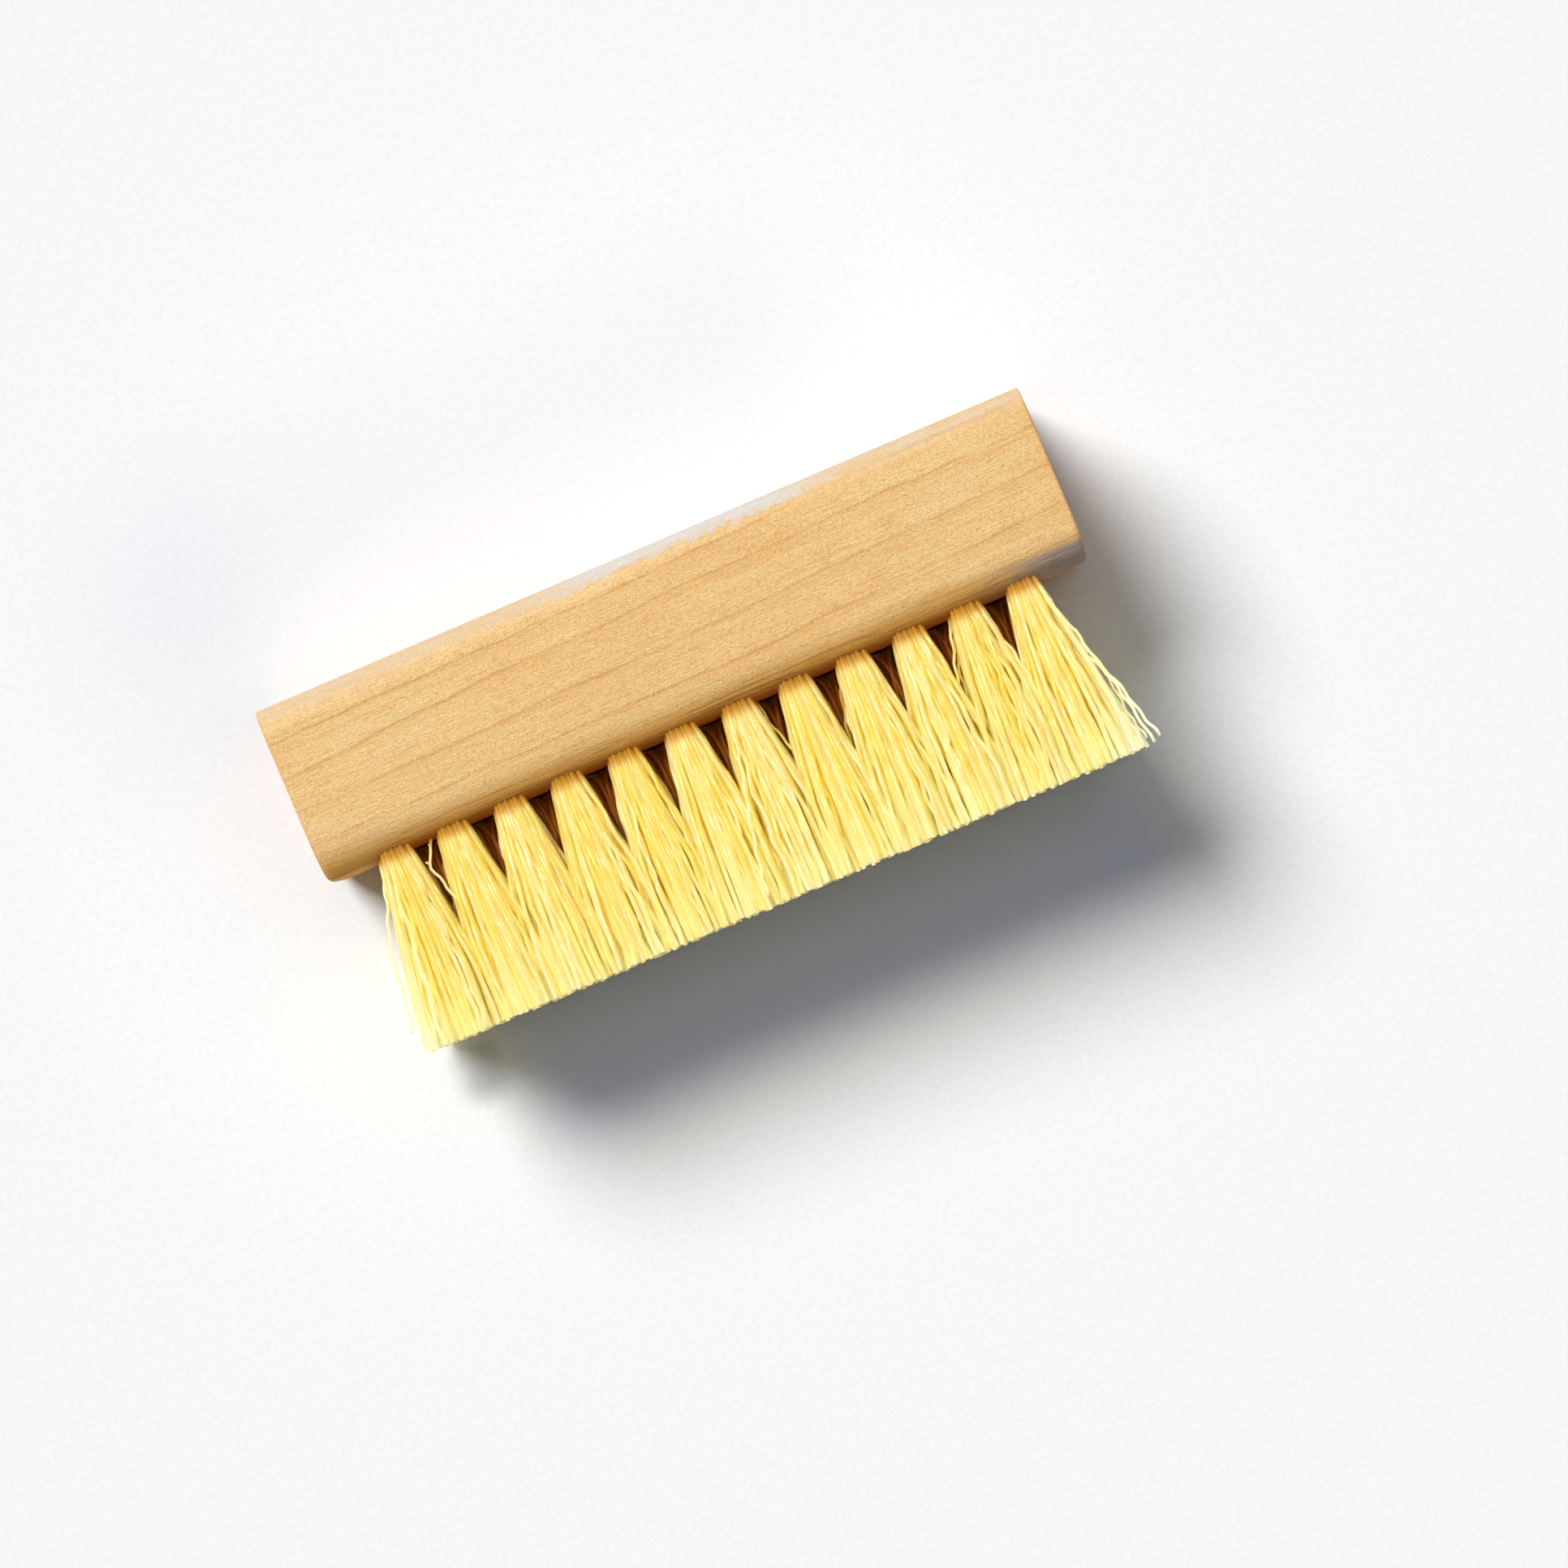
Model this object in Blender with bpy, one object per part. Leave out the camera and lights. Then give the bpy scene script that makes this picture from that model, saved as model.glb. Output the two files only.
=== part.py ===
"""Shoe brush: a wooden block with rounded long edges, drilled for four rows of twelve folded tufts.

It lies on its side, as it is put down. +X runs along the block, +Y from the bristle tips to the
back of the block, +Z up. The origin is on the surface it lies on, at the centre of its outline.
"""

import math
import random

import bmesh
import bpy
from mathutils import Matrix, Vector

# Block, in metres: length along X, height from bristle face to back, thickness between its side faces
BLOCK_LENGTH = 0.135
BLOCK_HEIGHT = 0.0305
BLOCK_THICKNESS = 0.040
BRISTLE_EDGE_RADIUS = 0.0065
BACK_EDGE_RADIUS = 0.0045
EDGE_STEPS = 6
END_EASING = 0.0008
EASING_STEPS = 2

# Drilling: the margins run from a block face to the axis of the nearest holes
TUFTS_IN_ROW = 12
ROWS = 4
END_MARGIN = 0.012
SIDE_MARGIN = 0.0055
HOLE_DIAMETER = 0.006
HOLE_DEPTH = 0.014
DRILL_POINT_HEIGHT = 0.0017
HOLE_SIDES = 12
CUT_OVERRUN = 0.001

# Tufts: filament seen below the bristle face, and the folded root that fills the hole
TRIM_LENGTH = 0.032
ROOT_CLEARANCE = 0.0003
CORE_SHARE = 0.45

# A tuft leaves its hole as a middle strand and eight around it, listed from +X round to +Z
AROUND = [(1, 0), (1, 1), (0, 1), (-1, 1), (-1, 0), (-1, -1), (0, -1), (1, -1)]

# Anchors: a flat wire that the filament is folded round, set on edge near the bottom of the hole
ANCHOR_THICKNESS = 0.0004
ANCHOR_WIDTH = 0.002
FOLD_THICKNESS = 0.0012

# Flare: the spread at the tips, which a neighbouring tuft or the surface below stops at the bend
FLARE = 0.005
BEND_SHARE = 0.45
FLOOR_GAP = 0.0005
TIP_SCATTER = 0.0003

FACE_Y = (TRIM_LENGTH - BLOCK_HEIGHT) / 2
PITCH_X = (BLOCK_LENGTH - 2 * END_MARGIN) / (TUFTS_IN_ROW - 1)
PITCH_Z = (BLOCK_THICKNESS - 2 * SIDE_MARGIN) / (ROWS - 1)
HOLE_RADIUS = HOLE_DIAMETER / 2
ROOT_RADIUS = HOLE_RADIUS - ROOT_CLEARANCE
ROOT_END = HOLE_DEPTH - ROOT_CLEARANCE
ROOT_SIDES = len(AROUND)
STRANDS_ACROSS = len({x for x, _ in AROUND})
STRAND_HALF = ROOT_RADIUS / STRANDS_ACROSS


def clear_scene():
    for old in list(bpy.data.objects):
        bpy.data.objects.remove(old)


def make_material(name, color, roughness):
    material = bpy.data.materials.new(name)
    material.use_nodes = True
    shader = material.node_tree.nodes["Principled BSDF"]
    shader.inputs["Base Color"].default_value = (*color, 1.0)
    shader.inputs["Roughness"].default_value = roughness
    shader.inputs["Metallic"].default_value = 0.0
    return material


def add_object(name, bm, location, parent, material):
    bmesh.ops.recalc_face_normals(bm, faces=bm.faces)
    mesh = bpy.data.meshes.new(name)
    bm.to_mesh(mesh)
    bm.free()
    obj = bpy.data.objects.new(name, mesh)
    bpy.context.scene.collection.objects.link(obj)
    obj.parent = parent
    obj.location = location
    if material:
        mesh.materials.append(material)
    return obj


def shade_smooth(mesh):
    for polygon in mesh.polygons:
        polygon.use_smooth = True
    mesh.set_sharp_from_angle(angle=math.radians(40))


def hole_places():
    """(row, column, x, z) of every hole. Row 1 is the highest, and column 1 is at -X."""
    for row in range(ROWS):
        for column in range(TUFTS_IN_ROW):
            x = column * PITCH_X + END_MARGIN - BLOCK_LENGTH / 2
            z = BLOCK_THICKNESS - SIDE_MARGIN - row * PITCH_Z
            yield row, column, x, z


def round_over(bm, edges, radius, steps):
    bmesh.ops.bevel(bm, geom=edges, offset=radius, segments=steps, profile=0.5, affect="EDGES")


def rounded_block():
    """A box with its four long edges rounded over and the arrises of its sawn ends eased."""
    bm = bmesh.new()
    bmesh.ops.create_cube(bm, size=1)
    bmesh.ops.scale(bm, vec=(BLOCK_LENGTH, BLOCK_HEIGHT, BLOCK_THICKNESS), verts=bm.verts)
    long_edges = [e for e in bm.edges if e.verts[0].co.x * e.verts[1].co.x < 0]
    back_edges = [e for e in long_edges if e.verts[0].co.y > 0]
    bristle_edges = [e for e in long_edges if e.verts[0].co.y < 0]
    round_over(bm, back_edges, BACK_EDGE_RADIUS, EDGE_STEPS)
    round_over(bm, bristle_edges, BRISTLE_EDGE_RADIUS, EDGE_STEPS)
    end_faces = [f for f in bm.faces if abs(f.normal.x) > abs(f.normal.y) + abs(f.normal.z)]
    round_over(bm, [e for f in end_faces for e in f.edges], END_EASING, EASING_STEPS)
    return bm


def hole_cutter():
    """One drill-shaped cutter for each hole: a cylinder along Y with a pointed inner end."""
    bm = bmesh.new()
    length = HOLE_DEPTH + CUT_OVERRUN
    middle_y = FACE_Y + HOLE_DEPTH - length / 2
    corner_radius = HOLE_RADIUS / math.cos(math.pi / HOLE_SIDES)
    along_y = Matrix.Rotation(-math.pi / 2, 4, "X")
    for _, _, x, z in hole_places():
        made = bmesh.ops.create_cone(
            bm,
            cap_ends=True,
            segments=HOLE_SIDES,
            radius1=corner_radius,
            radius2=corner_radius,
            depth=length,
            matrix=Matrix.Translation((x, middle_y, z)) @ along_y,
        )
        faces = {f for v in made["verts"] for f in v.link_faces}
        inner_cap = max(faces, key=lambda f: f.calc_center_median().y)
        point = bmesh.ops.poke(bm, faces=[inner_cap])["verts"][0]
        point.co.y += DRILL_POINT_HEIGHT
    return bm


def add_block(parent, material):
    centre = (0, FACE_Y + BLOCK_HEIGHT / 2, BLOCK_THICKNESS / 2)
    block = add_object("block", rounded_block(), centre, parent, material)
    cutter = add_object("hole_cutter", hole_cutter(), (0, 0, 0), parent, None)
    cutter.hide_render = True
    cutter.display_type = "WIRE"
    drilling = block.modifiers.new("drilling", "BOOLEAN")
    drilling.operation = "DIFFERENCE"
    drilling.object = cutter
    shade_smooth(block.data)
    shade_smooth(cutter.data)


def side_limits(row, column):
    """How far a tuft's outer strands may stand off its axis at -X and +X, and at -Z and +Z."""
    beside = PITCH_X / STRANDS_ACROSS
    above = PITCH_Z / STRANDS_ACROSS
    floor = SIDE_MARGIN - FLOOR_GAP - STRAND_HALF
    along = (beside if column > 0 else math.inf, beside if column < TUFTS_IN_ROW - 1 else math.inf)
    up = (above if row < ROWS - 1 else floor, above if row > 0 else math.inf)
    return along, up


def strand_centres(share, limits):
    """Centres of the strands across a tuft at this share of its trim, from - to +."""
    spread = HOLE_RADIUS + FLARE * share - STRAND_HALF
    low, high = -min(spread, limits[0]), min(spread, limits[1])
    return [low + (high - low) * k / (STRANDS_ACROSS - 1) for k in range(STRANDS_ACROSS)]


def root_cells(rim, core):
    """The root's end, cut into nine cells, as ((column, row), corner vertices) around its centre.

    rim holds its eight corners and core the four corners of its middle cell, both from +X round to +Z.
    """
    cells = [((0, 0), core)]
    for k, step in enumerate(AROUND):
        first, second = rim[k - 1], rim[k]
        if k % 2:
            cells.append((step, [first, second, core[k // 2]]))
        else:
            cells.append((step, [first, second, core[k // 2], core[k // 2 - 1]]))
    return cells


def ring(bm, radius, count, y):
    """Corners of a polygon round Y, whose first wall faces +X."""
    angles = [math.tau * (k + 1 / 2) / count for k in range(count)]
    return [bm.verts.new((radius * math.cos(a), y, radius * math.sin(a))) for a in angles]


def grow_strand(bm, corners, bend_centre, tip_centre):
    """Carries a root cell out through its bend to its cut tip, keeping the cell's outline."""
    centre = sum((v.co for v in corners), Vector()) / len(corners)
    below = corners
    for target in (bend_centre, tip_centre):
        above = [bm.verts.new(target + v.co - centre) for v in corners]
        for k, v in enumerate(above):
            bm.faces.new((below[k - 1], below[k], v, above[k - 1]))
        below = above
    bm.faces.new(below)


def add_anchor_end(bm, wall):
    """Grows one end of the anchor wire out of a wall of the root, as far as the root's own corners."""
    far = ROOT_END - FOLD_THICKNESS
    near = far - ANCHOR_WIDTH
    middle = wall.calc_center_median()
    for x in (middle.x, math.copysign(ROOT_RADIUS, middle.x)):
        wall = bmesh.ops.extrude_discrete_faces(bm, faces=[wall])["faces"][0]
        for v in wall.verts:
            y = far if v.co.y > middle.y else near
            v.co = (x, y, math.copysign(ANCHOR_THICKNESS / 2, v.co.z))
        middle = wall.calc_center_median()


def add_root(bm, rim):
    """The folded bundle inside the hole, from its rim to a blunt point that seats in the drill point."""
    foot = ring(bm, ROOT_RADIUS, ROOT_SIDES, ROOT_END)
    point = bm.verts.new((0, ROOT_END + DRILL_POINT_HEIGHT * ROOT_RADIUS / HOLE_RADIUS, 0))
    walls = []
    for k in range(ROOT_SIDES):
        walls.append(bm.faces.new((rim[k - 1], rim[k], foot[k], foot[k - 1])))
        bm.faces.new((foot[k - 1], foot[k], point))
    add_anchor_end(bm, walls[0])
    add_anchor_end(bm, walls[ROOT_SIDES // 2])


def tuft(row, column):
    """One folded tuft: its root with the anchor, and nine strands that leave it at the bristle face."""
    bm = bmesh.new()
    rim = ring(bm, ROOT_RADIUS, ROOT_SIDES, 0)
    core = ring(bm, ROOT_RADIUS * CORE_SHARE, ROOT_SIDES // 2, 0)
    add_root(bm, rim)
    along, up = side_limits(row, column)
    bend_x, bend_z = strand_centres(BEND_SHARE, along), strand_centres(BEND_SHARE, up)
    tip_x, tip_z = strand_centres(1, along), strand_centres(1, up)
    scatter = random.Random(row * TUFTS_IN_ROW + column)
    for (i, j), corners in root_cells(rim, core):
        shift = scatter.uniform(-TIP_SCATTER, TIP_SCATTER)
        bend = Vector((bend_x[i + 1], -TRIM_LENGTH * BEND_SHARE, bend_z[j + 1]))
        tip = Vector((tip_x[i + 1] + shift, -TRIM_LENGTH, tip_z[j + 1]))
        grow_strand(bm, corners, bend, tip)
    return bm


def main():
    clear_scene()
    brush = bpy.data.objects.new("shoe_brush", None)
    bpy.context.scene.collection.objects.link(brush)
    wood = make_material("pale_wood", (0.79, 0.51, 0.24), 0.55)
    filament = make_material("yellow_filament", (0.90, 0.70, 0.20), 0.35)
    add_block(brush, wood)
    for row, column, x, z in hole_places():
        name = f"tuft_row{row + 1}_{column + 1:02d}"
        add_object(name, tuft(row, column), (x, FACE_Y, z), brush, filament)


main()
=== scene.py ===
import math

import bmesh
import bpy
from mathutils import Matrix, Vector, noise


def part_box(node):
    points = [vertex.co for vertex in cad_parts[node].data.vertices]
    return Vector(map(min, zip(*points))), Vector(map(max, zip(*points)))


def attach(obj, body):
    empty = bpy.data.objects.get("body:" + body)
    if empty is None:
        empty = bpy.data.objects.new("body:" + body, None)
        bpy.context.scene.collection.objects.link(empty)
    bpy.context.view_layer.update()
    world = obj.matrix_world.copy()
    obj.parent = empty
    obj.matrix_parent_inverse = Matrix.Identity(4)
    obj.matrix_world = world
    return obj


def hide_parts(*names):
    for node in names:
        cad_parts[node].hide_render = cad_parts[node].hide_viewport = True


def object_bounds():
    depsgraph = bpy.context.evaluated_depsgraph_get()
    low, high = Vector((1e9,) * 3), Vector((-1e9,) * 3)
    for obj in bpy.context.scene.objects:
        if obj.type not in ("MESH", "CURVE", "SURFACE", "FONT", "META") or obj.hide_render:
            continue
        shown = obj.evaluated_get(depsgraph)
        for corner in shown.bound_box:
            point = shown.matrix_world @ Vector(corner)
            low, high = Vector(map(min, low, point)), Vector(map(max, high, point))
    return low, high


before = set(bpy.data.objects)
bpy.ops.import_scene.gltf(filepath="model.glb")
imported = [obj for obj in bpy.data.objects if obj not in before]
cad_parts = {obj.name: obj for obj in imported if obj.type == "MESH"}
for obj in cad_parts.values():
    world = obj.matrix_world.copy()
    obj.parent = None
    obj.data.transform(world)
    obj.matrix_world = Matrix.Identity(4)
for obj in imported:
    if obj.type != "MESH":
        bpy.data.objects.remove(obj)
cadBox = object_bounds()

mm = 0.001
blockLow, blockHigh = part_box("block")
faceY = blockLow.y  # the drilled face that the bristles leave
tipY = cadBox[0].y


# One output socket of a node. The operators on it add Math nodes to its tree.

class Wire:
    def __init__(self, board, socket):
        self.board = board
        self.socket = socket

    def out(self, key):  # another output of the same node
        return Wire(self.board, pick(self.socket.node.outputs, key))

    def op(self, operation, *values):
        return self.board.add("ShaderNodeMath", {"operation": operation}, dict(enumerate(values)))

    def __add__(self, other):
        return self.op("ADD", self, other)

    def __radd__(self, other):
        return self.op("ADD", other, self)

    def __sub__(self, other):
        return self.op("SUBTRACT", self, other)

    def __rsub__(self, other):
        return self.op("SUBTRACT", other, self)

    def __mul__(self, other):
        return self.op("MULTIPLY", self, other)

    def __rmul__(self, other):
        return self.op("MULTIPLY", other, self)

    def __truediv__(self, other):
        return self.op("DIVIDE", self, other)

    def __rtruediv__(self, other):
        return self.op("DIVIDE", other, self)

    def __pow__(self, other):
        return self.op("POWER", self, other)

    def __gt__(self, other):
        return self.op("GREATER_THAN", self, other)

    def __abs__(self):
        return self.op("ABSOLUTE", self)

    def atLeast(self, other):
        return self.op("MAXIMUM", self, other)

    def atMost(self, other):
        return self.op("MINIMUM", self, other)

    def softAtMost(self, other, softness):
        return self.op("SMOOTH_MIN", self, other, softness)

    def sin(self):
        return self.op("SINE", self)

    def cos(self):
        return self.op("COSINE", self)

    def step(self, low, high):  # smooth 0 to 1 between low and high
        sockets = {"Value": self, "From Min": low, "From Max": high}
        return self.board.add("ShaderNodeMapRange", {"interpolation_type": "SMOOTHSTEP"}, sockets)

    def length(self):
        sockets = {0: self}
        return self.board.add("ShaderNodeVectorMath", {"operation": "LENGTH"}, sockets, "Value")

    def xyz(self):
        x = self.board.add("ShaderNodeSeparateXYZ", None, {0: self})
        return x, x.out("Y"), x.out("Z")


def pick(sockets, key):
    if isinstance(key, int):
        return sockets[key]
    return next(s for s in sockets if s.name == key and s.enabled)


# A node tree of any kind, with one method that adds any node to it.

class Board:
    def __init__(self, tree):
        self.tree = tree

    def add(self, kind, settings=None, sockets=None, out=0):
        node = self.tree.nodes.new(kind)
        for name, value in (settings or {}).items():
            setattr(node, name, value)
        for key, value in (sockets or {}).items():
            self.feed(pick(node.inputs, key), value)
        return Wire(self, pick(node.outputs, out))

    def feed(self, socket, value):
        if isinstance(value, Wire):
            self.tree.links.new(value.socket, socket)
        else:
            socket.default_value = value

    def vector(self, x, y, z):
        return self.add("ShaderNodeCombineXYZ", None, {0: x, 1: y, 2: z})

    def noise(self, place, detail=2.0, roughness=0.5, distortion=0.0):
        sockets = {"Vector": place, "Scale": 1.0, "Detail": detail}
        sockets["Roughness"] = roughness
        sockets["Distortion"] = distortion
        return self.add("ShaderNodeTexNoise", None, sockets)

    def mix(self, first, second, share):
        sockets = {"Factor": share, "A": first, "B": second}
        return self.add("ShaderNodeMix", {"data_type": "RGBA"}, sockets, "Result")


def rgb(red, green, blue):  # a colour as a photograph shows it, 0 to 255, to linear light
    def linear(value):
        share = value / 255
        return share / 12.92 if share <= 0.04045 else ((share + 0.055) / 1.055) ** 2.4
    return (linear(red), linear(green), linear(blue), 1.0)


def newMaterial(name, constants):
    material = bpy.data.materials.new(name)
    material.use_nodes = True
    shader = material.node_tree.nodes["Principled BSDF"]
    for socket, value in constants.items():
        shader.inputs[socket].default_value = value
    return material, Board(material.node_tree), shader


def inMillimetres(board):
    place = board.add("ShaderNodeTexCoord", None, None, "Object")
    return board.add("ShaderNodeVectorMath", {"operation": "SCALE"}, {0: place, "Scale": 1000.0})


def addPiece(name, mesh, material):
    piece = bpy.data.objects.new(name, mesh)
    bpy.context.scene.collection.objects.link(piece)
    if not mesh.materials:
        mesh.materials.append(material)
    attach(piece, "root")
    return piece


# Wood

woodLook = {
    "light": rgb(254, 216, 152),
    "middle": rgb(253, 206, 133),
    "dark": rgb(238, 181, 107),
    "orange": rgb(241, 182, 102),
    "line": rgb(206, 145, 79),
    "amber": rgb(255, 179, 60),  # painted warm glow of the bristles' yellow light, along the bristle edge
    "streak": rgb(142, 88, 36),
    "rim": rgb(176, 96, 22),  # painted dark shade where the tufts come out
    # painted sheen, greyer where the light washes out the back round-over
    "backEdge": rgb(204, 176, 140),
    "worn": rgb(212, 207, 200),
    "grey": rgb(170, 156, 148),  # painted shade at the bristle-side corner of one end
    # all places and sizes from here on are in millimetres
    "halfLength": 67.5,
    "thickness": 40,
    # the dark lines of late wood on the upper face: their heights at its left end, middle and right end
    "lines": (
        (24.9, 27.0, 29.4),
        (19.3, 22.4, 24.4),
        (13.6, 15.0, 18.2),
        (7.7, 8.4, 11.4),
        (0.0, 2.2, 5.4),
    ),
    "lineWidth": 0.42,
    "bandWidth": 3.2,  # of the soft band below a line
    "grainSlope": -0.16,  # how far the lines drop through the block's thickness
    # noises: scale along and across the fibres, detail, roughness, distortion and shift
    "grains": {
        "longWave": (0.02, 0.05, 1.0, 0.5, 0.0, 3.0),
        "shortWave": (0.07, 0.12, 2.0, 0.5, 0.0, 9.0),
        "jitter": (0.6, 0.5, 2.0, 0.6, 0.0, 0.0),
        "streak": (0.035, 0.75, 2.0, 0.6, 0.3, 0.0),
        "fibre": (0.16, 1.9, 3.0, 0.65, 0.6, 11.0),
        "fleck": (2.0, 4.6, 2.0, 0.7, 1.2, 23.0),
        "cloud": (0.03, 0.09, 2.0, 0.5, 0.0, 37.0),
        "mottle": (0.16, 0.32, 2.0, 0.6, 0.0, 31.0),
        "strength": (0.06, 0.3, 2.0, 0.6, 0.0, 61.0),
        "thread": (0.05, 2.0, 3.0, 0.7, 0.3, 51.0),
        "endShade": (0.2, 0.5, 2.0, 0.6, 0.0, 5.0),
        "backTurn": (0.5, 0.3, 2.0, 0.7, 0.0, 71.0),
        "chatter": (1.1, 0.1, 2.0, 0.6, 0.0, 83.0),
        "chatterPatch": (0.07, 0.02, 2.0, 0.5, 0.0, 0.0),
        "chips": (0.4, 0.45, 3.0, 0.75, 0.0, 97.0),
        "fray": (2.2, 0.5, 2.0, 0.5, 0.0, 0.0),
        "haze": (0.12, 0.5, 2.0, 0.6, 0.0, 7.0),
        "endGrain": (0.5, 1.8, 3.0, 0.6, 0.0, 3.0),
    },
    "deeperMiddle": 4,  # a stretch of the block that is a little deeper in colour
    "deeperHalf": 46,
    "wornMiddle": 8.5,  # the rubbed stretch of the back edge
    "wornHalf": 24.0,
    "specks": ((55.4, 21.9, 0.2), (58.3, 21.8, 0.28), (46.0, 18.0, 0.2)),  # x, y and size
    "scratch": (49.2, 6.0),
    "relief": 0.00018,  # of the fibres, in metres
}


def woodMaterial(look):
    material, board, shader = newMaterial("pale_maple", {"Specular IOR Level": 0.3})
    x, y, z = inMillimetres(board).xyz()

    def grain(name):
        along, across, detail, roughness, distortion, shift = look["grains"][name]
        place = board.vector(x * along + shift, y * across, z * across)
        return board.noise(place, detail, roughness, distortion)

    # the wood is followed as it lay in the tree: level is the height that a fibre has at the upper face
    waves = (grain("longWave") - 0.5) * 1.8 + (grain("shortWave") - 0.5) * 1.5
    jitter = (grain("jitter") - 0.5) * 0.4
    level = y + (look["thickness"] - z) * look["grainSlope"] + waves + jitter

    def lateWood(left, middle, right):  # a thin line with a soft band below it
        share = x / look["halfLength"]
        height = middle + (right - left) / 2 * share + ((left + right) / 2 - middle) * share * share
        above = level - height
        thin = 1 - abs(above).step(0.0, look["lineWidth"])
        soft = above.step(-look["bandWidth"], -0.1) * (1 - above.step(0.0, 0.25))
        return thin, soft

    # fibres, from broad soft streaks to short wavy flecks, and the growth lines over them
    streak = grain("streak")
    fibre = grain("fibre")
    fleck = grain("fleck")
    cloud = grain("cloud")
    deeper = 1 - (abs(x - look["deeperMiddle"]) / look["deeperHalf"]).step(0.3, 1.0)

    tone = board.mix(look["light"], look["middle"], cloud.step(0.3, 0.7) * 0.6 + deeper * 0.35)
    mottle = grain("mottle").step(0.45, 0.75) * 0.5
    tone = board.mix(tone, look["orange"], mottle * x.step(-50, 10))
    tone = board.mix(tone, look["dark"], streak.step(0.4, 0.75) * 0.45)
    tone = board.mix(tone, look["light"], (1 - streak.step(0.25, 0.5)) * 0.5)
    tone = board.mix(tone, look["dark"], fibre.step(0.48, 0.72) * 0.6)
    tone = board.mix(tone, look["light"], (1 - fibre.step(0.28, 0.46)) * 0.55)
    tone = board.mix(tone, look["line"], fleck.step(0.5, 0.66) * 0.65)
    tone = board.mix(tone, look["light"], (1 - fleck.step(0.34, 0.5)) * 0.9)
    strength = grain("strength").step(0.34, 0.66)
    broken = 0.45 + fleck.step(0.35, 0.6) * 0.55
    for heights in look["lines"]:
        thin, soft = lateWood(*heights)
        tone = board.mix(tone, look["dark"], soft * (0.12 + strength * 0.25))
        tone = board.mix(tone, look["line"], thin * (0.25 + strength * 0.45) * broken)

    # the bristle edge: deeper in colour, a painted warm glow of the bristles' yellow light on its shaded
    # round-over, with long dark streaks and dashes, painted dark shade where the tufts come out, and
    # painted grey shade at one end
    edge = 1 - y.step(1.5, 6.5)
    tone = board.mix(tone, look["amber"], edge * 0.85)
    threads = grain("thread").step(0.52, 0.62) * (1 - y.step(2.9, 5.2))
    tone = board.mix(tone, look["streak"], threads * 0.5)
    tone = board.mix(tone, look["light"], (1 - fibre.step(0.3, 0.45)) * edge * 0.5)
    # painted dark shade on the wood between the tufts, where they come out
    rim = (1 - y.step(1.0, 2.9)) * (1 - abs(x).step(57, 62))
    tone = board.mix(tone, look["rim"], rim)
    # painted grey shade at the bristle-side corner of one end
    endShade = (x + (grain("endShade") - 0.5) * 16).step(46, 65) * (1 - y.step(3.8, 5.5))
    tone = board.mix(tone, look["grey"], endShade * z.step(22, 31) * (0.8 + streak.step(0.4, 0.6) * 0.2))

    # the back edge: a painted sheen that greys its round-over, tool chatter marks, and a rubbed whitish
    # stretch with a ragged border
    backTurn = y + (grain("backTurn") - 0.5) * 1.6
    tone = board.mix(tone, look["backEdge"], backTurn.step(26.8, 30.0) * 0.6)
    chatter = grain("chatter").step(0.5, 0.62) * grain("chatterPatch").step(0.42, 0.6)
    band = y.step(25.6, 26.6) * (1 - y.step(28.4, 29.2)) * z.step(30.0, 36.0)
    tone = board.mix(tone, look["light"], chatter * band * 0.35)
    border = y + (grain("chips") - 0.5) * 5.5 + (grain("fray") - 0.5) * 1.0
    stretch = 1 - (abs(x - look["wornMiddle"]) / look["wornHalf"]).step(0.55, 1.3)
    haze = grain("haze").step(0.3, 0.7)
    fromMiddle = abs(z - look["thickness"] / 2) + (haze - 0.5) * 5
    corners = 0.25 + fromMiddle.step(9.0, 17.5) * 0.75  # rubbed most along the two back edges
    corners = corners * (0.55 + z.step(30, 36) * 0.45)
    rubbed = stretch * (0.65 + haze * 0.35) + (1 - stretch) * haze * 0.25
    worn = border.step(28.8, 29.5) * rubbed * corners
    tone = board.mix(tone, look["worn"], worn)

    # sawn ends, a few specks and a scratch
    endFace = abs(x).step(66.9, 67.3)
    tone = board.mix(tone, look["dark"], endFace * (0.25 + grain("endGrain").step(0.35, 0.65) * 0.45))
    for speckX, speckY, size in look["specks"]:
        away = (((x - speckX) / 1.8) ** 2 + (y - speckY) ** 2) ** 0.5
        speck = (1 - away.step(size * 0.5, size)) * z.step(38.0, 39.0)
        tone = board.mix(tone, look["streak"], speck * 0.25)
    scratchX, scratchY = look["scratch"]
    aside = abs(x - scratchX + (y - scratchY) * 0.12)
    scratch = (1 - aside.step(0.08, 0.22)) * (1 - abs(y - scratchY).step(1.4, 2.2))
    tone = board.mix(tone, look["light"], scratch * z.step(36.0, 38.0) * 0.6)

    board.feed(shader.inputs["Base Color"], tone)
    board.feed(shader.inputs["Roughness"], 0.52 + fibre * 0.14 + worn * 0.15)
    height = fibre * 0.7 + fleck * 1.1 - threads * 0.4
    sockets = {"Strength": 0.9, "Distance": look["relief"], "Height": height}
    bump = board.add("ShaderNodeBump", None, sockets)
    board.feed(shader.inputs["Normal"], bump)
    return material


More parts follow.
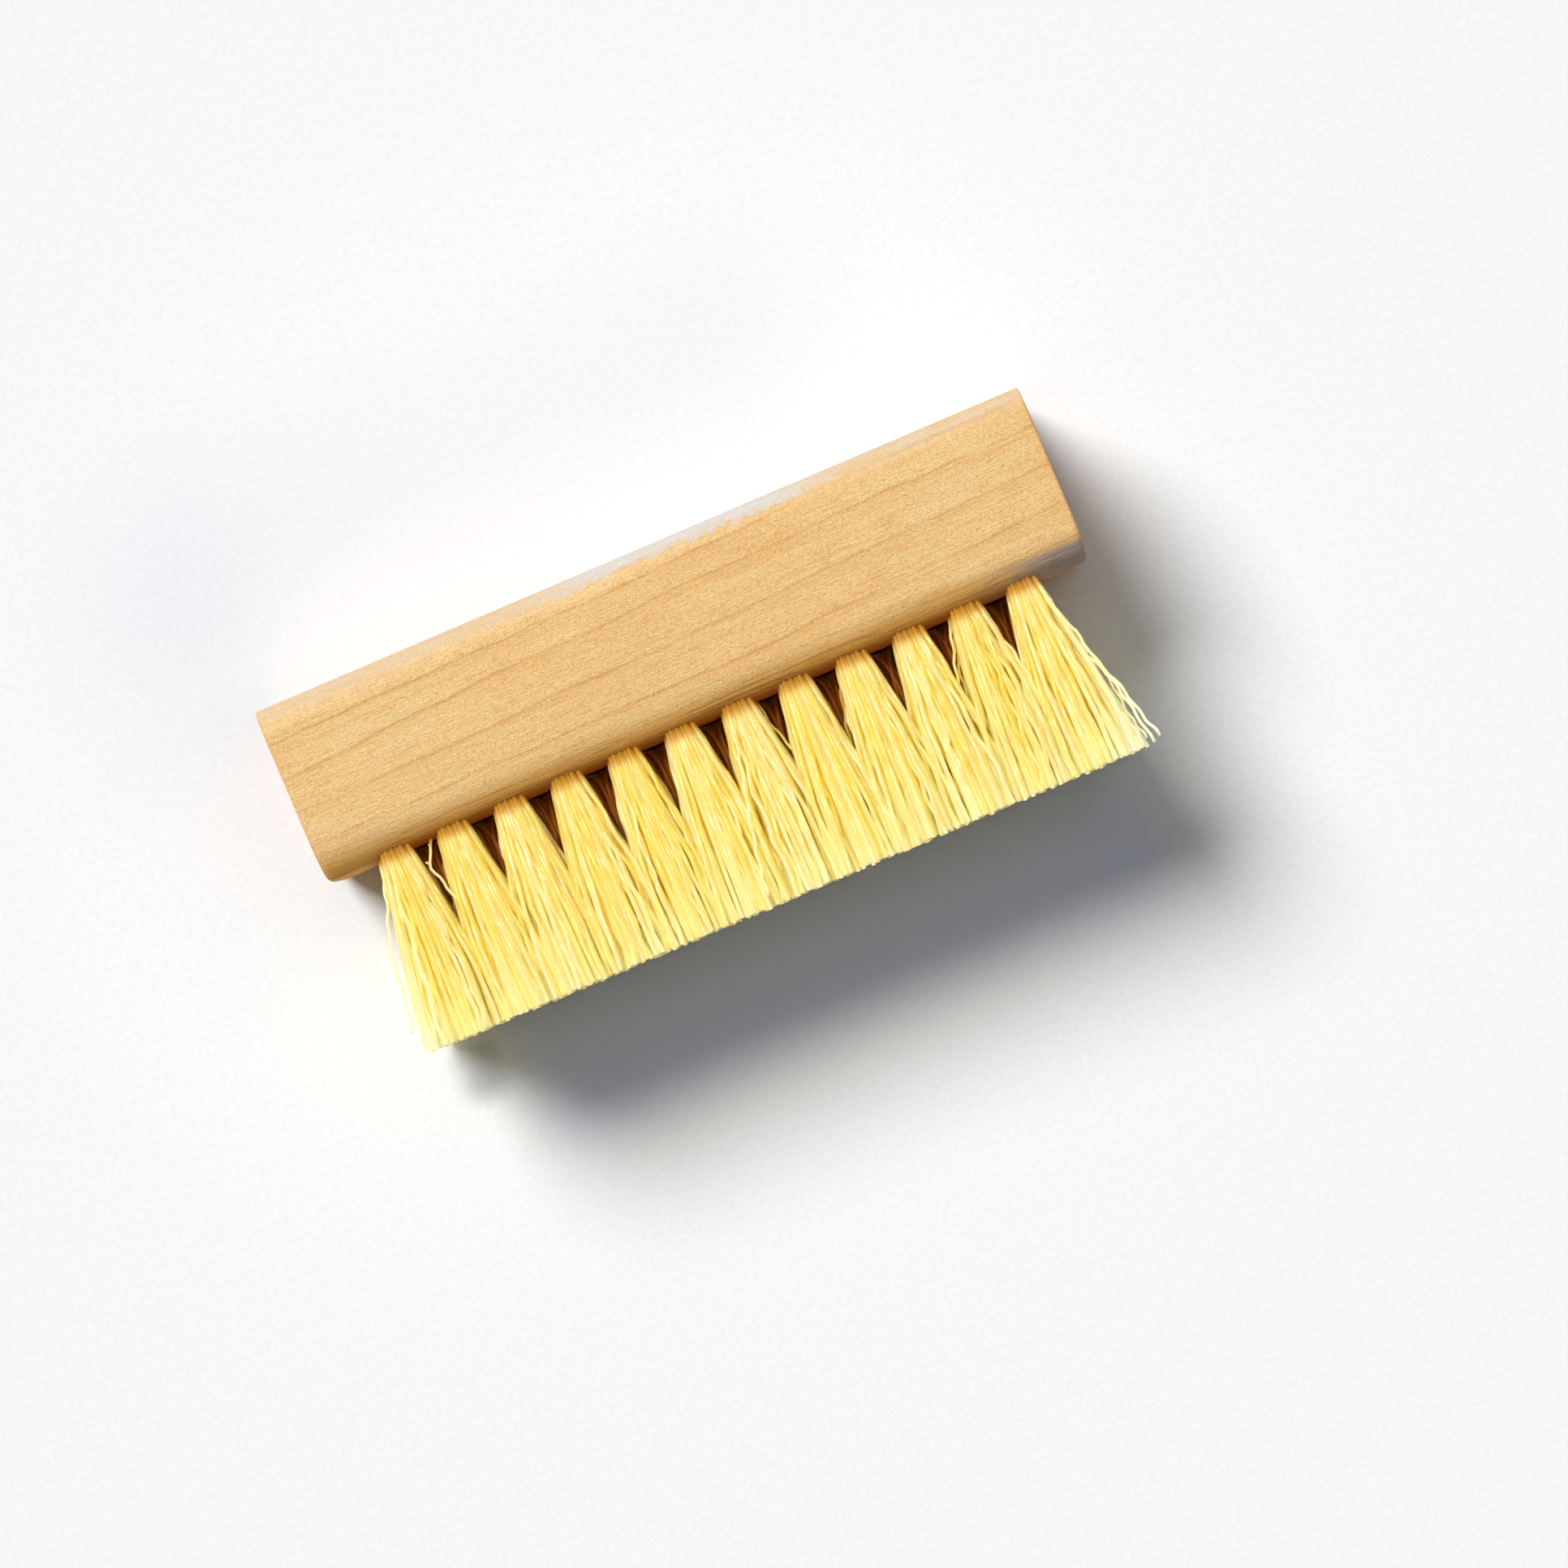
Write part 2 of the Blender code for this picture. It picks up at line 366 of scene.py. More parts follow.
blockShape = {
    "bristleEdge": 6.5 * mm,
    "backEdge": 4.5 * mm,
    "arcSteps": 12,
    "bristleEnd": 1.4 * mm,  # how far the sawn ends are sanded round at each side
    "sideEnd": 0.35 * mm,
    "backEnd": 0.25 * mm,
    "endSlices": 9,  # in each eased end
    "ringStep": 4.5 * mm,  # between the slices in the middle
    "edgeWander": 0.25 * mm,  # the rounded edges were sanded by hand
    "wanderLength": 17 * mm,
    "holeRadius": 3.0 * mm,
    "holeDepth": 14 * mm,
    "drillPoint": 1.7 * mm,
    "holeSides": 24,
    "overrun": 2 * mm,  # of the drill, out of the bristle face
    "sharpAngle": math.radians(32),
}


def easing(radius, fromEnd):
    if fromEnd >= radius:
        return 0.0
    return radius - math.sqrt(radius ** 2 - (radius - fromEnd) ** 2)


def blockSection(shape, x):  # the outline of a slice across the block, as a list of corners
    fromEnd = blockHigh.x - abs(x)
    wander = noise.noise(Vector((x / shape["wanderLength"], 0, 0))) * shape["edgeWander"]
    y0 = blockLow.y + easing(shape["bristleEnd"], fromEnd)
    y1 = blockHigh.y - easing(shape["backEnd"], fromEnd)
    z0 = blockLow.z + easing(shape["sideEnd"], fromEnd)
    z1 = blockHigh.z - easing(shape["sideEnd"], fromEnd)
    bristle = shape["bristleEdge"] + wander - easing(shape["sideEnd"], fromEnd)
    back = shape["backEdge"] - wander - easing(shape["sideEnd"], fromEnd)
    corners = ((y1, z1, back, 0), (y0, z1, bristle, 1), (y0, z0, bristle, 2), (y1, z0, back, 3))
    points = []
    for y, z, radius, quarter in corners:
        centreY = y - math.copysign(radius, y - (y0 + y1) / 2)
        centreZ = z - math.copysign(radius, z - (z0 + z1) / 2)
        for k in range(shape["arcSteps"] + 1):
            angle = (quarter + k / shape["arcSteps"]) * math.pi / 2
            points.append((x, centreY + radius * math.cos(angle), centreZ + radius * math.sin(angle)))
    return points


def blockStations(shape):  # where the block is sliced: close together at the eased ends
    widest = shape["bristleEnd"]
    slices = shape["endSlices"]
    fromEnd = [widest * (1 - math.cos(k * math.pi / (2 * slices))) for k in range(slices + 1)]
    ends = [blockHigh.x - d for d in fromEnd]
    inner = ends[-1]
    count = round(2 * inner / shape["ringStep"])
    between = [-inner + 2 * inner * k / count for k in range(1, count)]
    return [-x for x in ends] + between + ends[::-1]


def holeAxis(node):  # (x, z) of a tuft's hole, read from its root
    inside = [v.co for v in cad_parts[node].data.vertices if v.co.y > faceY + 1 * mm]
    xs = [p.x for p in inside]
    zs = [p.z for p in inside]
    return (min(xs) + max(xs)) / 2, (min(zs) + max(zs)) / 2


def finishMesh(bm, name):
    mesh = bpy.data.meshes.new(name)
    bm.to_mesh(mesh)
    bm.free()
    return mesh


def undrilledMesh(shape):
    bm = bmesh.new()
    rings = [[bm.verts.new(p) for p in blockSection(shape, x)] for x in blockStations(shape)]
    for here, there in zip(rings, rings[1:]):
        for k in range(len(here)):
            bm.faces.new((here[k - 1], here[k], there[k], there[k - 1]))
    bm.faces.new(rings[0])
    bm.faces.new(rings[-1])
    bmesh.ops.recalc_face_normals(bm, faces=bm.faces)
    return finishMesh(bm, "wood_block")


def drillMesh(shape, axes):  # one pointed cutter for each hole
    bm = bmesh.new()
    radius = shape["holeRadius"]
    length = shape["holeDepth"] + shape["overrun"]
    for x, z in axes:
        middle = Vector((x, faceY + shape["holeDepth"] - length / 2, z))
        place = Matrix.Translation(middle) @ Matrix.Rotation(-math.pi / 2, 4, "X")
        sizes = {"segments": shape["holeSides"], "radius1": radius, "radius2": radius, "depth": length}
        made = bmesh.ops.create_cone(bm, cap_ends=True, matrix=place, **sizes)
        caps = {f for v in made["verts"] for f in v.link_faces}
        inner = max(caps, key=lambda f: f.calc_center_median().y)
        point = bmesh.ops.poke(bm, faces=[inner])["verts"][0]
        point.co.y += shape["drillPoint"]
    return finishMesh(bm, "drill")


def addBlock(shape, axes, material):
    block = bpy.data.objects.new("wood_block", undrilledMesh(shape))
    drill = bpy.data.objects.new("drill", drillMesh(shape, axes))
    for obj in (block, drill):
        bpy.context.scene.collection.objects.link(obj)
    boolean = block.modifiers.new("holes", "BOOLEAN")
    boolean.operation = "DIFFERENCE"
    boolean.object = drill
    graph = bpy.context.evaluated_depsgraph_get()
    drilled = bpy.data.meshes.new_from_object(block.evaluated_get(graph))
    for obj in (block, drill):
        bpy.data.objects.remove(obj)
    drilled.materials.clear()
    drilled.shade_smooth()
    drilled.set_sharp_from_angle(angle=shape["sharpAngle"])
    drilled.name = "wood_block"
    piece = addPiece("wood_block", drilled, material)
    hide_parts("block")
    print("block", len(drilled.polygons), "faces")


# Bristles

filamentLook = {
    "pale": rgb(251, 244, 204),
    "warm": rgb(249, 238, 155),
    "gold": rgb(250, 230, 86),  # painted, for the yellower light inside a tuft
    "amber": rgb(228, 164, 34),  # painted shade between the tufts, near the wood
    # painted shade where the filaments leave the hole
    "root": rgb(231, 194, 80),
    # paler towards the cut tips and in the tufts at both ends
    "paleEnds": rgb(255, 253, 236),
    "through": (1.0, 0.985, 0.84, 1.0),  # the tint of the light that goes straight through a filament
    "open": 0.68,  # the share of light that does so
    "clearness": 0.76,  # the share of the rest that goes through scattered
    "gloss": 0.048,  # the share that its skin sends back
    "skinRoughness": 0.26,
    "crimpLength": 4.7,  # in millimetres
    "crimpHeight": 0.13 * mm,
}


def filamentMaterial(look):
    material, board, shader = newMaterial("yellow_filament", {"Specular IOR Level": 0.5})
    tone = board.add("ShaderNodeAttribute", {"attribute_name": "tone"}, None, "Fac")
    out = board.add("ShaderNodeAttribute", {"attribute_name": "out"}, None, "Fac")
    inner = board.add("ShaderNodeAttribute", {"attribute_name": "inner"}, None, "Fac")
    x, y, z = inMillimetres(board).xyz()
    streak = board.noise(board.vector(x * 0.9, y * 0.07, z * 0.9), 2.0)
    # painted shade: the inner rows near the wood, deep between the tufts
    deep = (1 - abs(z - 20).step(11.5, 16.5)) * (1 - abs(x).step(56, 60)) * (1 - out.step(0.1, 0.6))
    within = inner * (1 - out.step(0.7, 0.97))  # the cut tips are all alike
    ends = abs(x + 1).step(55, 66)
    # gold is a painted deeper colour for the yellower light inside a tuft, amber is painted shade
    # between the tufts near the wood, and root is painted shade where the filaments leave the hole
    shares = {
        "pale": (tone * 0.7 + streak * 0.5).step(0.2, 0.9),
        "gold": within.step(0.1, 0.5) * 0.8,
        "amber": deep,
        "root": y.step(-1.0, 1.9),
        "paleEnds": (out.step(0.3, 1.0) * 0.4 + ends * 0.5) * (1 - within),
    }

    def blend(first, second, share):
        return board.add("ShaderNodeMixShader", None, {0: share, 1: first, 2: second})

    # the light that comes through has the same colours as the light that is sent back
    colour = look["warm"]
    through = board.add("ShaderNodeBsdfTranslucent", None, {"Color": look["warm"]})
    for name, share in shares.items():
        colour = board.mix(colour, look[name], share)
        layer = board.add("ShaderNodeBsdfTranslucent", None, {"Color": look[name]})
        through = blend(through, layer, share)

    # the crimp, which neighbouring filaments share
    drift = board.noise(board.vector(x * 0.35, y * 0.03, z * 0.35), 1.0)
    beat = (y / look["crimpLength"] + drift * 3 + tone * 0.3) * math.tau
    sockets = {"Strength": 1.0, "Distance": look["crimpHeight"], "Height": beat.sin()}
    crimp = board.add("ShaderNodeBump", None, sockets)

    board.feed(shader.inputs["Base Color"], colour)
    board.feed(shader.inputs["Roughness"], 0.26 + streak * 0.16)
    both = blend(Wire(board, shader.outputs[0]), through, look["clearness"])
    sockets = {"Color": (1, 1, 1, 1), "Roughness": look["skinRoughness"], "Normal": crimp}
    skin = board.add("ShaderNodeBsdfAnisotropic", None, sockets)
    # less shine where shade is painted, deep between the tufts and at the roots
    shine = (1 - deep * 0.8) * (1 - y.step(-1.0, 0.8)) * look["gloss"]
    both = blend(both, skin, shine)
    past = board.add("ShaderNodeBsdfTransparent", None, {"Color": look["through"]})
    shadow = board.add("ShaderNodeLightPath", None, None, "Is Shadow Ray")
    both = blend(both, past, shadow * look["open"])
    board.feed(material.node_tree.nodes["Material Output"].inputs["Surface"], both)
    return material


def steelMaterial():
    constants = {"Base Color": (0.42, 0.41, 0.40, 1.0), "Metallic": 1.0}
    material, board, shader = newMaterial("anchor_wire", constants)
    drawn = board.noise(inMillimetres(board), 2.0)
    board.feed(shader.inputs["Roughness"], 0.3 + drawn * 0.25)
    return material


tuftLook = {
    "filaments": 140,
    "rootRadius": 2.65 * mm,
    "filamentRadius": 0.35 * mm,
    "placeTurn": math.radians(137.508),  # from one filament's place in the hole to the next
    "bulge": 0.1 * mm,  # how much a tuft swells as it leaves the hole, and over what depth
    "bulgeDepth": 1.5 * mm,
    "innerBulge": 2.2 * mm,  # the same in the two inner rows
    "innerBulgeDepth": 0.15 * mm,
    "seat": 12.6 * mm,  # how deep the filaments go before they fold round the anchor
    "wireWidth": 2.0 * mm,
    "wireThickness": 0.4 * mm,
    "wireFromFold": 1.2 * mm,
    "flare": 0.165,  # how fast an outer filament leaves the axis
    "innerFlare": 0.3,
    "flareRange": (0.8, 1.2),
    "reachBeside": 6.0 * mm,  # how far it gets towards a neighbour
    "reachFree": 7.6 * mm,  # past the ends of a row
    "reachAbove": 6.6 * mm,
    "reachFloor": 4.6 * mm,
    "reachRange": (0.85, 1.15),
    "softness": 1.2 * mm,  # with which it meets these limits
    "floorGap": 0.1 * mm,
    "squareness": 0.8,  # of the tuft's outline below its round hole
    "leanMost": 1.5 * mm,
    "crimp": 0.28 * mm,
    "crimpLength": 9.0 * mm,
    "crimpRange": (0.8, 1.25),
    "clump": 0.5 * mm,  # how far the locks part
    "ragged": 0.6 * mm,  # how much shorter than the others a filament may be
    "strayShare": 0.03,  # of the filaments, which leave the tuft
    "strayReach": 2.2 * mm,
    "strayRange": (0.4, 1.2),
    "rings": 17,  # points along a filament, of which the first two are in the hole
    "sides": 4,
}


def anchorWire(board, number, look):  # the flat wire that the bundle is folded round, on edge across it
    size = board.vector(number("rootRadius") * 2, look["wireWidth"], look["wireThickness"])
    wire = board.add("GeometryNodeMeshCube", None, {"Size": size, "Vertices X": 6, "Vertices Y": 3})
    y = number("faceY") + number("seat") - look["wireFromFold"]
    place = board.vector(number("axisX"), y, number("axisZ"))
    return board.add("GeometryNodeTransform", None, {"Geometry": wire, "Translation": place})


# The node tree that grows one tuft. Its inputs are named after tuftLook and the tuft's own place.

def tuftTree(look):
    tree = bpy.data.node_groups.new("tuft", "GeometryNodeTree")
    tree.interface.new_socket(name="Tuft", in_out="OUTPUT", socket_type="NodeSocketGeometry")
    floats = ["rootRadius", "filamentRadius", "seat", "trim", "flare", "left", "right", "down", "up"]
    floats += ["squareness", "crimp", "crimpLength", "clump", "ragged", "strayShare", "strayReach"]
    floats += ["lean", "axisX", "axisZ", "faceY", "bulge", "bulgeDepth"]
    floats += ["middleZ", "edgeStart", "edgeRadius", "skew"]
    for name in floats:
        tree.interface.new_socket(name=name, in_out="INPUT", socket_type="NodeSocketFloat")
    for name in ("filaments", "seed"):
        tree.interface.new_socket(name=name, in_out="INPUT", socket_type="NodeSocketInt")
    for name in ("filament", "wire"):
        tree.interface.new_socket(name=name, in_out="INPUT", socket_type="NodeSocketMaterial")
    board = Board(tree)
    number = board.add("NodeGroupInput").out

    def store(geometry, name, value, kind):
        sockets = {"Geometry": geometry, "Name": name, "Value": value}
        return board.add("GeometryNodeStoreNamedAttribute", {"data_type": kind}, sockets)

    def read(name, kind):
        settings = {"data_type": kind}
        return board.add("GeometryNodeInputNamedAttribute", settings, {"Name": name}, "Attribute")

    def chance(low, high, offset):  # a fixed random number for each filament
        sockets = {"Min": low, "Max": high, "ID": read("strand", "INT")}
        sockets["Seed"] = number("seed") + offset
        return board.add("FunctionNodeRandomValue", {"data_type": "FLOAT"}, sockets, "Value")

    # the filaments' places in the hole, as a sunflower's seeds lie
    index = board.add("GeometryNodeInputIndex")
    turn = index * look["placeTurn"]
    outward = ((index + 0.5) / number("filaments")) ** 0.5
    seat = board.vector(turn.cos() * outward, 0.0, turn.sin() * outward)
    roots = board.add("GeometryNodePoints", None, {"Count": number("filaments")})
    roots = store(roots, "strand", index, "INT")
    roots = store(roots, "seat", seat, "FLOAT_VECTOR")

    line = board.add("GeometryNodeCurvePrimitiveLine", None, {"End": (0.0, -1.0, 0.0)})
    line = board.add("GeometryNodeResampleCurve", None, {"Curve": line, "Count": look["rings"]})
    strands = board.add("GeometryNodeInstanceOnPoints", None, {"Points": roots, "Instance": line})
    strands = board.add("GeometryNodeRealizeInstances", None, {"Geometry": strands})
    strands = store(strands, "tone", chance(0.0, 1.0, 1), "FLOAT")
    strands = store(strands, "inner", 1 - read("seat", "FLOAT_VECTOR").length(), "FLOAT")

    # how far along the filament a point is: hidden runs from -1 to 0 and shown from 0 to 1
    along = board.add("GeometryNodeSplineParameter", None, None, "Factor")
    hiddenShare = 2 / (look["rings"] - 1)
    hidden = (along / hiddenShare - 1).atMost(0.0)
    shown = (along - hiddenShare) / (1 - hiddenShare)
    shown = shown.atLeast(0.0) ** 1.5  # the points are closer together near the hole
    strands = store(strands, "out", shown, "FLOAT")
    reach = number("trim") - (1 - chance(0.0, 1.0, 2) ** 4) * number("ragged")
    depth = hidden * number("seat") + shown * reach

    # each filament keeps its place in the growing bundle, as far as its neighbours let it
    seatX, _, seatZ = read("seat", "FLOAT_VECTOR").xyz()
    aside = abs(seatZ * number("rootRadius") + number("axisZ") - number("middleZ"))
    beyond = aside - number("edgeStart")
    early = beyond.atLeast(0.0) ** 2 / (number("edgeRadius") * 2)  # the rounded edge frees these sooner
    free = (depth + early).atLeast(0.0)
    grown = number("rootRadius") + number("flare") * chance(*look["flareRange"], 3) * free
    grown = grown + number("bulge") * free.step(0.0, number("bulgeDepth"))
    limitX = number("left") + (number("right") - number("left")) * (seatX > 0)
    limitX = limitX * chance(*look["reachRange"], 11)
    limitZ = number("down") + (number("up") - number("down")) * (seatZ > 0)
    length = (seatX * seatX + seatZ * seatZ) ** 0.5
    corner = length / abs(seatX).atLeast(abs(seatZ)).atLeast(0.001)
    opened = (depth + early * 3).step(-0.3 * mm, 1.2 * mm)
    square = 1 + (corner - 1) * number("squareness") * opened
    x = seatX * grown.softAtMost(limitX, look["softness"]) * square + number("lean") * shown * shown
    z = seatZ * grown.softAtMost(limitZ, look["softness"]) * square

    # the strands part into locks, and every filament has its own crimp
    lockPlace = board.vector(seatX * 1.6 + number("seed") * 3.7, shown * 0.7, seatZ * 1.6)
    lockX, lockZ, _ = board.noise(lockPlace, 2.0).out("Color").xyz()
    x = x + (lockX - 0.5) * number("clump") * 4 * shown
    x = x + number("skew") * free.step(0.0, number("bulgeDepth"))
    z = z + (lockZ - 0.5) * number("clump") * 2 * shown
    stray = number("strayShare") > chance(0.0, 1.0, 8)
    size = number("crimp") * (0.5 + chance(0.0, 1.0, 4) + stray * 1.2) * (shown * 5).atMost(1.0)
    crimpLength = number("crimpLength") * chance(*look["crimpRange"], 5)
    beat = depth * math.tau / crimpLength + chance(0.0, math.tau, 6)
    away = stray * number("strayReach") * chance(*look["strayRange"], 9) * shown ** 1.3
    sideways = (beat + chance(0.0, math.tau, 7)).sin() * size * chance(0.2, 1.0, 10) ** 2
    x = x + sideways + seatX * 1.4 * away
    z = z + beat.sin() * size + seatZ * away

    # in the hole the two halves of the bundle come together under the wire
    fold = (0 - hidden).step(0.7, 1.0)
    z = z * (1 - fold * 0.85)
    height = (z + number("axisZ")).atLeast(number("filamentRadius") + look["floorGap"])
    place = board.vector(x + number("axisX"), number("faceY") - depth, height)
    strands = board.add("GeometryNodeSetPosition", None, {"Geometry": strands, "Position": place})

    sockets = {"Resolution": look["sides"], "Radius": number("filamentRadius")}
    profile = board.add("GeometryNodeCurvePrimitiveCircle", None, sockets)
    sockets = {"Curve": strands, "Profile Curve": profile, "Fill Caps": True}
    bundle = board.add("GeometryNodeCurveToMesh", None, sockets)
    bundle = store(bundle, "steel", False, "BOOLEAN")

    wire = store(anchorWire(board, number, look), "steel", True, "BOOLEAN")

    tuft = board.add("GeometryNodeJoinGeometry", None, {"Geometry": bundle})
    board.feed(tuft.socket.node.inputs["Geometry"], wire)
    tuft = board.add("GeometryNodeRealizeInstances", None, {"Geometry": tuft})
    sockets = {"Geometry": tuft, "Material": number("filament")}
    tuft = board.add("GeometryNodeSetMaterial", None, sockets)
    sockets = {"Geometry": tuft, "Selection": read("steel", "BOOLEAN"), "Material": number("wire")}
    tuft = board.add("GeometryNodeSetMaterial", None, sockets)
    board.feed(tree.nodes.new("NodeGroupOutput").inputs["Tuft"], tuft)
    return tree


# Single filaments that have left their tuft, as (tuft, radius, tone, points), all in millimetres.

strandLook = {
    "sides": 6,
    "pointStep": 1.1 * mm,
    "crimp": 0.16 * mm,
    "crimpLength": 4.7 * mm,
    "strays": [
        ("row1_02", 0.23, 0.9, [
            (-49.3, 1.0, 36.0), (-50.9, -3.0, 37.6), (-49.9, -6.6, 38.2), (-49.0, -10.4, 38.6),
        ]),
        ("row1_02", 0.16, 0.9, [
            (-50.9, -3.0, 37.6), (-51.4, -2.1, 37.8),
        ]),
        ("row1_02", 0.15, 0.7, [
            (-50.7, -2.2, 37.3), (-50.0, -0.6, 37.0), (-49.8, 0.4, 36.7),
        ]),
        ("row1_07", 0.24, 1.0, [
            (3.4, 1.2, 37.4), (2.2, -6.5, 39.0), (0.4, -14.0, 40.4), (-1.4, -22.5, 41.2),
            (-2.3, -29.0, 41.4),
        ]),
        ("row1_12", 0.25, 0.9, [
            (58.0, 0.6, 36.6), (58.6, -3.5, 37.8), (60.4, -8.6, 38.6), (61.8, -14.6, 39.2),
            (63.8, -20.4, 39.5), (65.2, -26.0, 39.6), (66.6, -30.0, 39.6),
        ]),
        ("row1_12", 0.24, 0.8, [
            (58.4, 0.3, 35.6), (59.4, -5.8, 37.0), (60.5, -12.2, 38.2), (62.6, -17.6, 38.6),
            (63.9, -23.2, 38.8), (65.3, -30.7, 38.9),
        ]),
        ("row1_12", 0.22, 0.6, [
            (58.2, 0.3, 34.6), (59.3, -8.0, 36.6), (61.2, -16.8, 37.8), (61.6, -22.0, 38.2),
            (62.9, -26.2, 38.3), (63.7, -30.4, 38.3),
        ]),
        ("row1_12", 0.22, 0.4, [
            (58.3, 0.3, 33.4), (60.6, -9.5, 34.6), (62.6, -18.0, 35.5), (63.4, -25.0, 36.0),
            (64.6, -29.6, 36.0),
        ]),
        ("row1_04", 0.22, 0.2, [
            (-27.3, 0.9, 34.6), (-26.2, -4.6, 34.8), (-24.9, -9.8, 35.5), (-24.4, -15.5, 36.5),
        ]),
        ("row1_07", 0.22, 0.2, [
            (8.3, 0.9, 34.4), (9.3, -4.2, 35.0), (10.9, -9.4, 36.0), (11.2, -15.0, 37.0),
        ]),
        ("row1_09", 0.24, 0.1, [
            (22.6, 0.9, 33.6), (21.3, -4.6, 33.8), (20.0, -10.2, 34.6), (19.6, -16.0, 36.0),
        ]),
        ("row1_11", 0.24, 0.4, [
            (42.5, 1.0, 35.6), (41.2, -3.8, 36.2), (39.9, -8.6, 37.0), (39.2, -14.0, 38.0),
        ]),
        ("row1_11", 0.22, 0.2, [
            (42.9, 0.9, 33.9), (41.9, -3.4, 34.4), (40.6, -8.8, 35.4), (40.2, -14.0, 36.4),
        ]),
        ("row1_11", 0.24, 0.6, [
            (48.3, 0.9, 35.4), (49.1, -4.4, 36.6), (50.3, -9.6, 37.6), (50.9, -15.0, 38.6),
            (51.0, -20.0, 39.4),
        ]),
        ("row1_05", 0.23, 0.7, [
            (-16.6, 0.9, 35.4), (-15.0, -7.0, 37.4), (-13.0, -12.6, 38.6), (-12.8, -19.0, 39.6),
        ]),
        ("row1_01", 0.23, 0.8, [
            (-58.4, 0.9, 35.6), (-60.0, -6.0, 37.2), (-62.3, -13.0, 38.2), (-63.0, -19.5, 38.4),
            (-64.2, -27.0, 38.4),
        ]),
    ],
}


def smoothLine(points, count):  # points along a Catmull-Rom curve through the given ones
    padded = [points[0] * 2 - points[1]] + points + [points[-1] * 2 - points[-2]]
    line = []
    for k in range(count + 1):
        spot = min(k / count * (len(points) - 1), len(points) - 1.000001)
        i = int(spot)
        t = spot - i
        a, b, c, d = padded[i:i + 4]
        curve = b * 2 + (c - a) * t + (a * 2 - b * 5 + c * 4 - d) * t ** 2
        curve += (b * 3 - a - c * 3 + d) * t ** 3
        line.append(curve / 2)
    return line


def strayRings(look, bm, points, radius, tone):  # the corners of a single filament, slice by slice
    layers = [bm.verts.layers.float[key] for key in ("tone", "out", "inner")]
    length = sum((b - a).length for a, b in zip(points, points[1:]))
    count = max(3, round(length / look["pointStep"]))
    line = smoothLine(points, count)
    rings = []
    for k, centre in enumerate(line):
        ahead = (line[min(k + 1, count)] - line[max(k - 1, 0)]).normalized()
        across = ahead.cross(Vector((0, 0, 1))).normalized()
        above = across.cross(ahead)
        beat = k / count * length / look["crimpLength"] * math.tau + tone * 9
        centre = centre + across * math.sin(beat) * look["crimp"] * min(1, k / 3)
        out = (faceY - centre.y) / (faceY - tipY)
        ring = []
        for j in range(look["sides"]):
            angle = j * math.tau / look["sides"]
            side = across * math.cos(angle) + above * math.sin(angle)
            vert = bm.verts.new(centre + side * radius * mm)
            for layer, value in zip(layers, (tone, out, 0.0)):
                vert[layer] = value
            ring.append(vert)
        rings.append(ring)
    return rings


def addStrays(look, name, mesh):  # joins this tuft's single filaments to its mesh
    bm = bmesh.new()
    bm.from_mesh(mesh)
    for tuft, radius, tone, places in look["strays"]:
        if not name.endswith(tuft):
            continue
        rings = strayRings(look, bm, [Vector(p) * mm for p in places], radius, tone)
        faces = [bm.faces.new(rings[0][::-1]), bm.faces.new(rings[-1])]
        for here, there in zip(rings, rings[1:]):
            for j in range(look["sides"]):
                faces.append(bm.faces.new((here[j - 1], here[j], there[j], there[j - 1])))
        bmesh.ops.recalc_face_normals(bm, faces=faces)
        for face in faces:
            face.smooth = True
            face.material_index = mesh.materials.find("yellow_filament")
    bm.to_mesh(mesh)
    bm.free()


def growTuft(tree, name, values):
    seed = bpy.data.objects.new(name, bpy.data.meshes.new(name))
    bpy.context.scene.collection.objects.link(seed)
    modifier = seed.modifiers.new("tuft", "NODES")
    modifier.node_group = tree
    for item in tree.interface.items_tree:
        if item.in_out == "INPUT":
            modifier[item.identifier] = values[item.name]
    graph = bpy.context.evaluated_depsgraph_get()
    mesh = bpy.data.meshes.new_from_object(seed.evaluated_get(graph))
    bpy.data.objects.remove(seed)
    mesh.name = name
    return mesh


def tuftValues(look, node, rows, lastColumn):  # what this tuft feeds to the tree's inputs
    _, row, column = node.split("_")
    x, z = holeAxis(node)
    values = dict(look, axisX=x, axisZ=z, faceY=faceY, trim=faceY - tipY, skew=0.0)
    values["middleZ"] = (blockLow.z + blockHigh.z) / 2
    values["left"] = look["reachFree"] if int(column) == 1 else look["reachBeside"]
    values["right"] = look["reachFree"] if int(column) == lastColumn else look["reachBeside"]
    values["up"] = look["reachAbove"] if row == rows[0] else look["reachBeside"]
    values["down"] = look["reachFloor"] if row == rows[-1] else look["reachBeside"]
    if row not in (rows[0], rows[-1]):
        values["bulge"] = look["innerBulge"]
        values["bulgeDepth"] = look["innerBulgeDepth"]
        values["flare"] = look["innerFlare"]
        if int(column) in (1, lastColumn):  # these two swell towards the middle only
            values["bulge"] = look["innerBulge"] / 2
            values["flare"] = look["flare"]
            values["skew"] = math.copysign(look["innerBulge"] / 2, -x)
    return values


